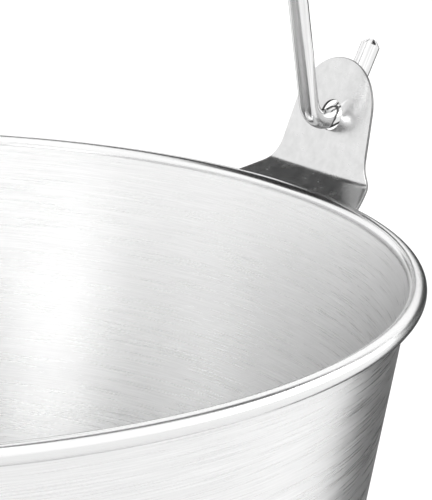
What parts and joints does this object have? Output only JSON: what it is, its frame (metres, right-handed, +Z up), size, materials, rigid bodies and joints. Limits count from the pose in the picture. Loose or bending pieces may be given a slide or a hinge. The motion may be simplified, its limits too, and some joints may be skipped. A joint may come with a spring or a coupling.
{
  "type": "milk pail",
  "caption": "Tapered stainless steel milk pail with a rolled wired rim, a foot ring, two welded stamped ears and a round wire bail that swings through them.",
  "frame": {"origin": "centre of the foot ring's underside, the middle of the pail's base", "axes": "+Z up the pail's axis; +X towards one ear, along the bail's hinge line; +Y across the hinge line, the way the bail swings"},
  "size_m": [0.384, 0.32, 0.4374],
  "materials": {
    "body_steel": "brushed round the body, satin",
    "ear_steel": "satin, pressed sheet",
    "bail_steel": "polished wire",
    "foot_steel": "satin",
    "wire_steel": "drawn wire",
    "weld_steel": "cleaned weld bead"
  },
  "bodies": {
    "pail": {"pail_body": "body_steel", "rim_wire": "wire_steel", "foot_ring": "foot_steel", "foot_weld": "weld_steel", "ear_right": "ear_steel", "ear_left": "ear_steel", "ear_weld_right": "weld_steel", "ear_weld_left": "weld_steel"},
    "bail": {"bail": "bail_steel"}
  },
  "joints": [
    {"name": "bail_swing", "type": "hinge", "parent": "pail", "child": "bail", "pos_m": [0, 0, 0.2604], "axis": [1, 0, 0], "range_deg": [-109, 109]}
  ]
}
